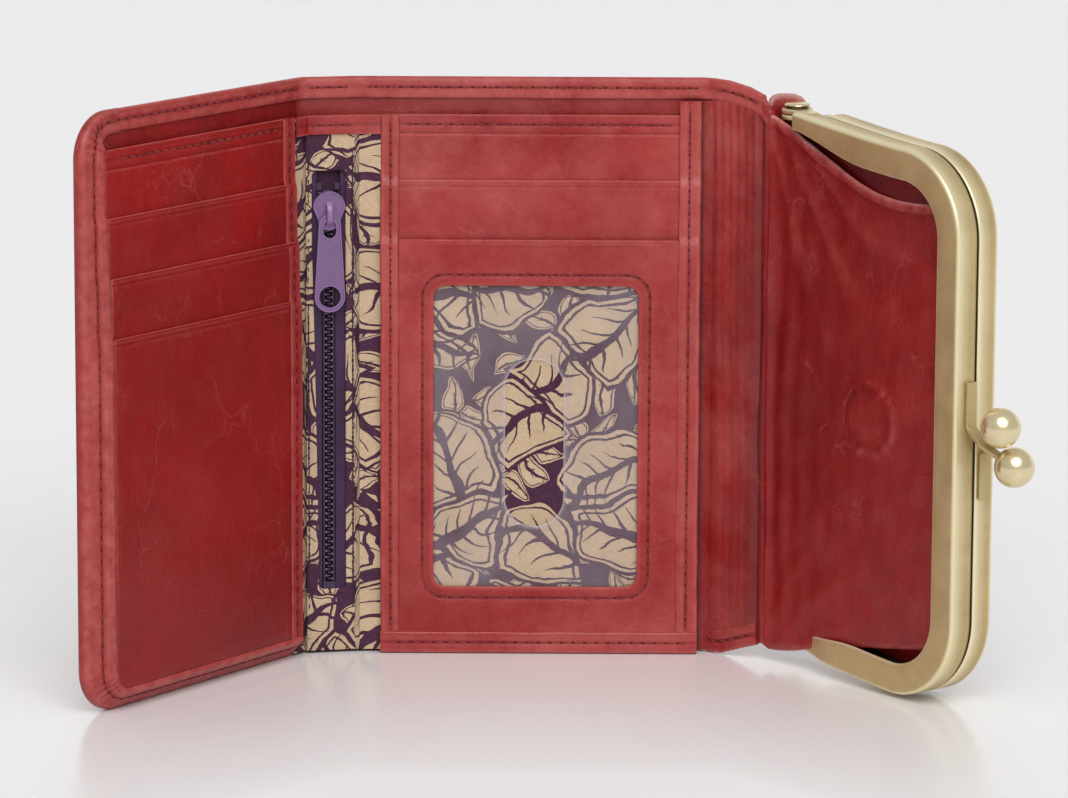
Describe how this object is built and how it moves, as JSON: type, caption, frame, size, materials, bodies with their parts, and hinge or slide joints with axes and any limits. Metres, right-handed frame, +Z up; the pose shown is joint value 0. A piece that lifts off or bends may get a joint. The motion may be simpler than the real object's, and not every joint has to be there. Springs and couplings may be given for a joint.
{
  "type": "kiss-lock trifold wallet",
  "caption": "Trifold leather wallet standing open, with card slots, a zip pocket in its spine and a kiss-lock coin pouch with a brass frame.",
  "frame": {"origin": "middle of the lower edge of the middle cover panel, on the surface that the wallet stands on", "axes": "+Z up; +X towards the coin pouch, along the middle panel; -Y towards the viewer, out of the card pockets"},
  "size_m": [0.1867, 0.0631, 0.119],
  "materials": {
    "leather": "semi-gloss",
    "leather_inner": "satin",
    "printed_lining": "matte",
    "plain_lining": "matte",
    "antique_brass": "satin",
    "zip_tape": "matte",
    "zip_teeth": "satin",
    "pull_enamel": "satin",
    "magnet_steel": "satin",
    "clear_film": "gloss"
  },
  "bodies": {
    "middle": {"cover_middle": "leather", "bill_divider_middle": "printed_lining", "top_band_middle": "leather", "card_slot_middle_1": "leather", "window_print_lining": "printed_lining", "window_film": "clear_film", "window_pocket_panel": "leather", "border_middle_left": "leather", "border_middle_right": "leather", "bottom_hem_middle": "leather"},
    "spine_left": {"cover_spine_left": "leather", "zip_pocket_lining": "plain_lining", "zip_panel": "printed_lining", "zip_tape_left": "zip_tape", "zip_tape_right": "zip_tape", "zip_teeth_left": "zip_teeth", "zip_teeth_right": "zip_teeth", "zip_stop_bottom": "antique_brass", "zip_stop_top_left": "antique_brass", "zip_stop_top_right": "antique_brass", "spine_top_band": "leather"},
    "flap": {"cover_flap": "leather", "bill_divider_flap": "printed_lining", "slot_backing_flap": "leather", "card_slot_flap_1": "leather", "card_slot_flap_2": "leather", "pocket_panel_flap": "leather", "border_flap": "leather", "binding_flap": "leather", "magnet_flap": "magnet_steel"},
    "spine_right": {"cover_spine_right": "leather", "spine_inner_right": "leather"},
    "pouch_back": {"pouch_back_leather": "leather", "pouch_back_lining": "plain_lining", "pouch_crease_leather": "leather", "gusset_top": "leather_inner", "gusset_bottom": "leather_inner", "frame_back": "antique_brass", "frame_packing_back": "plain_lining", "clasp_strip_back": "antique_brass", "clasp_ball_back": "antique_brass", "rivet_top": "antique_brass", "rivet_bottom": "antique_brass"},
    "pouch_front": {"pouch_front_leather": "leather", "pouch_front_lining": "plain_lining", "frame_front": "antique_brass", "frame_packing_front": "plain_lining", "clasp_strip_front": "antique_brass", "clasp_ball_front": "antique_brass", "magnet_pouch": "magnet_steel", "magnet_patch": "leather_inner"},
    "zip_slider": {"zip_slider": "pull_enamel"},
    "zip_pull": {"zip_pull_tab": "pull_enamel"}
  },
  "joints": [
    {"name": "fold_middle_left", "type": "hinge", "parent": "middle", "child": "spine_left", "pos_m": [-0.0374, 0, 0], "axis": [0, 0, 1], "range_deg": [-12, 78]},
    {"name": "fold_flap", "type": "hinge", "parent": "spine_left", "child": "flap", "pos_m": [-0.04894, -0.00245, 0], "axis": [0, 0, 1], "range_deg": [-42, 48]},
    {"name": "fold_middle_right", "type": "hinge", "parent": "middle", "child": "spine_right", "pos_m": [0.0343, 0, 0], "axis": [0, 0, -1], "range_deg": [-37.6, 52.4]},
    {"name": "fold_pouch", "type": "hinge", "parent": "spine_right", "child": "pouch_back", "pos_m": [0.04571, -0.00879, 0], "axis": [0, 0, -1], "range_deg": [-13.4, 76.6]},
    {"name": "frame_hinge", "type": "hinge", "parent": "pouch_back", "child": "pouch_front", "pos_m": [0.05149, -0.00861, 0], "axis": [0, 0, 1], "range_deg": [-50, 0], "deforming": ["gusset_top", "gusset_bottom", "pouch_crease_leather"]},
    {"name": "zip_slide", "type": "slide", "parent": "spine_left", "child": "zip_slider", "axis": [0, 0, 1], "range_m": [-0.07, 0], "deforming": ["zip_teeth_left", "zip_teeth_right", "zip_tape_left", "zip_tape_right"]},
    {"name": "pull_swing", "type": "hinge", "parent": "zip_slider", "child": "zip_pull", "pos_m": [-0.04267, -0.00521, 0.0911], "axis": [0.9781, 0.2079, 0], "range_deg": [-150, 0]}
  ]
}
